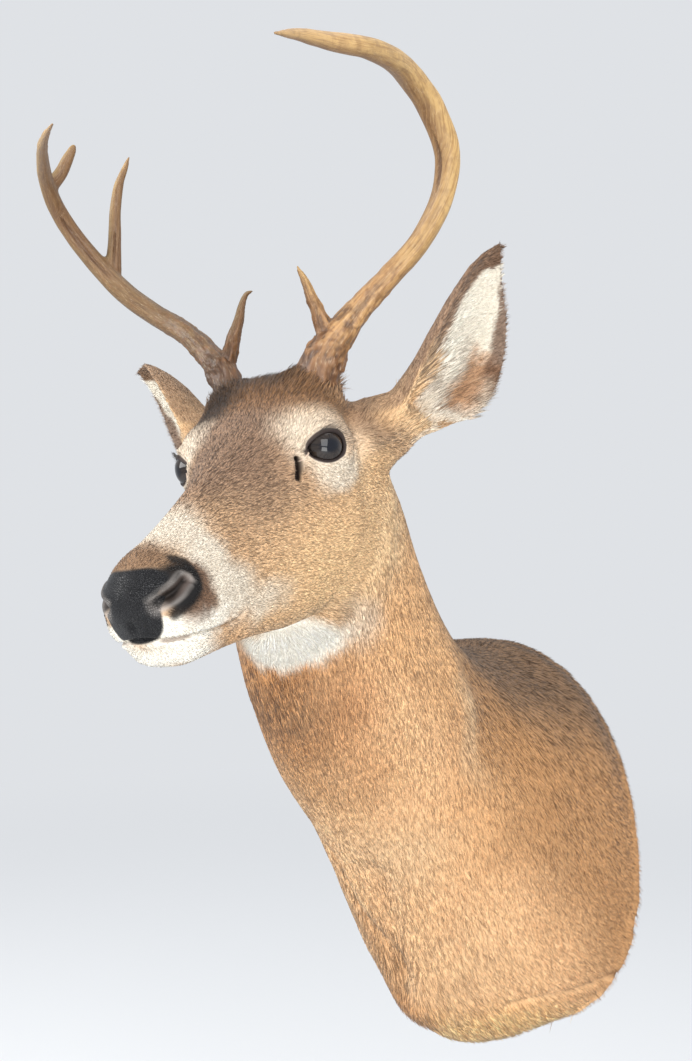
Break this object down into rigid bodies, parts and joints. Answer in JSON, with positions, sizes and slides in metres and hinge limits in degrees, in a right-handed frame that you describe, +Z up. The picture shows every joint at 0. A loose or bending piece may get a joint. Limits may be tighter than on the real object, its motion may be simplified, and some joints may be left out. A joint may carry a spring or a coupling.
{
  "type": "white-tailed deer shoulder mount",
  "caption": "Life-size shoulder mount of a white-tailed deer buck with its head turned to its left, antlers, glass eyes and a plywood backboard that hangs on a wall.",
  "frame": {"origin": "middle of the backboard's back face, on the wall plane", "axes": "+Y into the wall, +Z up, the deer looks out along -Y and its left side is +X"},
  "size_m": [0.4049, 0.6336, 0.8375],
  "materials": {
    "coat": "short tan hair lying flat over a tanned hide",
    "ear": "short grey-brown hair outside, longer white hair inside",
    "nose": "black, pebbled and a little glossy",
    "antler": "bone, satin, reddish brown and pearled at the root and golden tan above",
    "eye_glass": "opaque dark brown, polished",
    "plywood": "raw sanded softwood plywood",
    "steel": "zinc plated"
  },
  "bodies": {
    "root": {"backboard": "plywood", "hanger_plate": "steel", "neck": "coat", "brisket": "coat", "shoulder_left": "coat", "shoulder_right": "coat", "head": "coat", "muzzle": "coat", "lower_jaw": "coat", "ear_left": "ear", "ear_right": "ear", "eye_left": "eye_glass", "eye_right": "eye_glass", "antler_left_base": "antler", "antler_left_beam_lower": "antler", "antler_left_beam_middle": "antler", "antler_left_beam_upper": "antler", "antler_left_beam_tip": "antler", "antler_right_base": "antler", "antler_right_beam_lower": "antler", "antler_right_beam_middle": "antler", "antler_right_beam_upper": "antler", "antler_right_beam_tip": "antler", "antler_left_brow_tine": "antler", "antler_right_brow_tine": "antler", "antler_right_middle_tine": "antler", "antler_right_end_tine": "antler"}
  },
  "joints": []
}
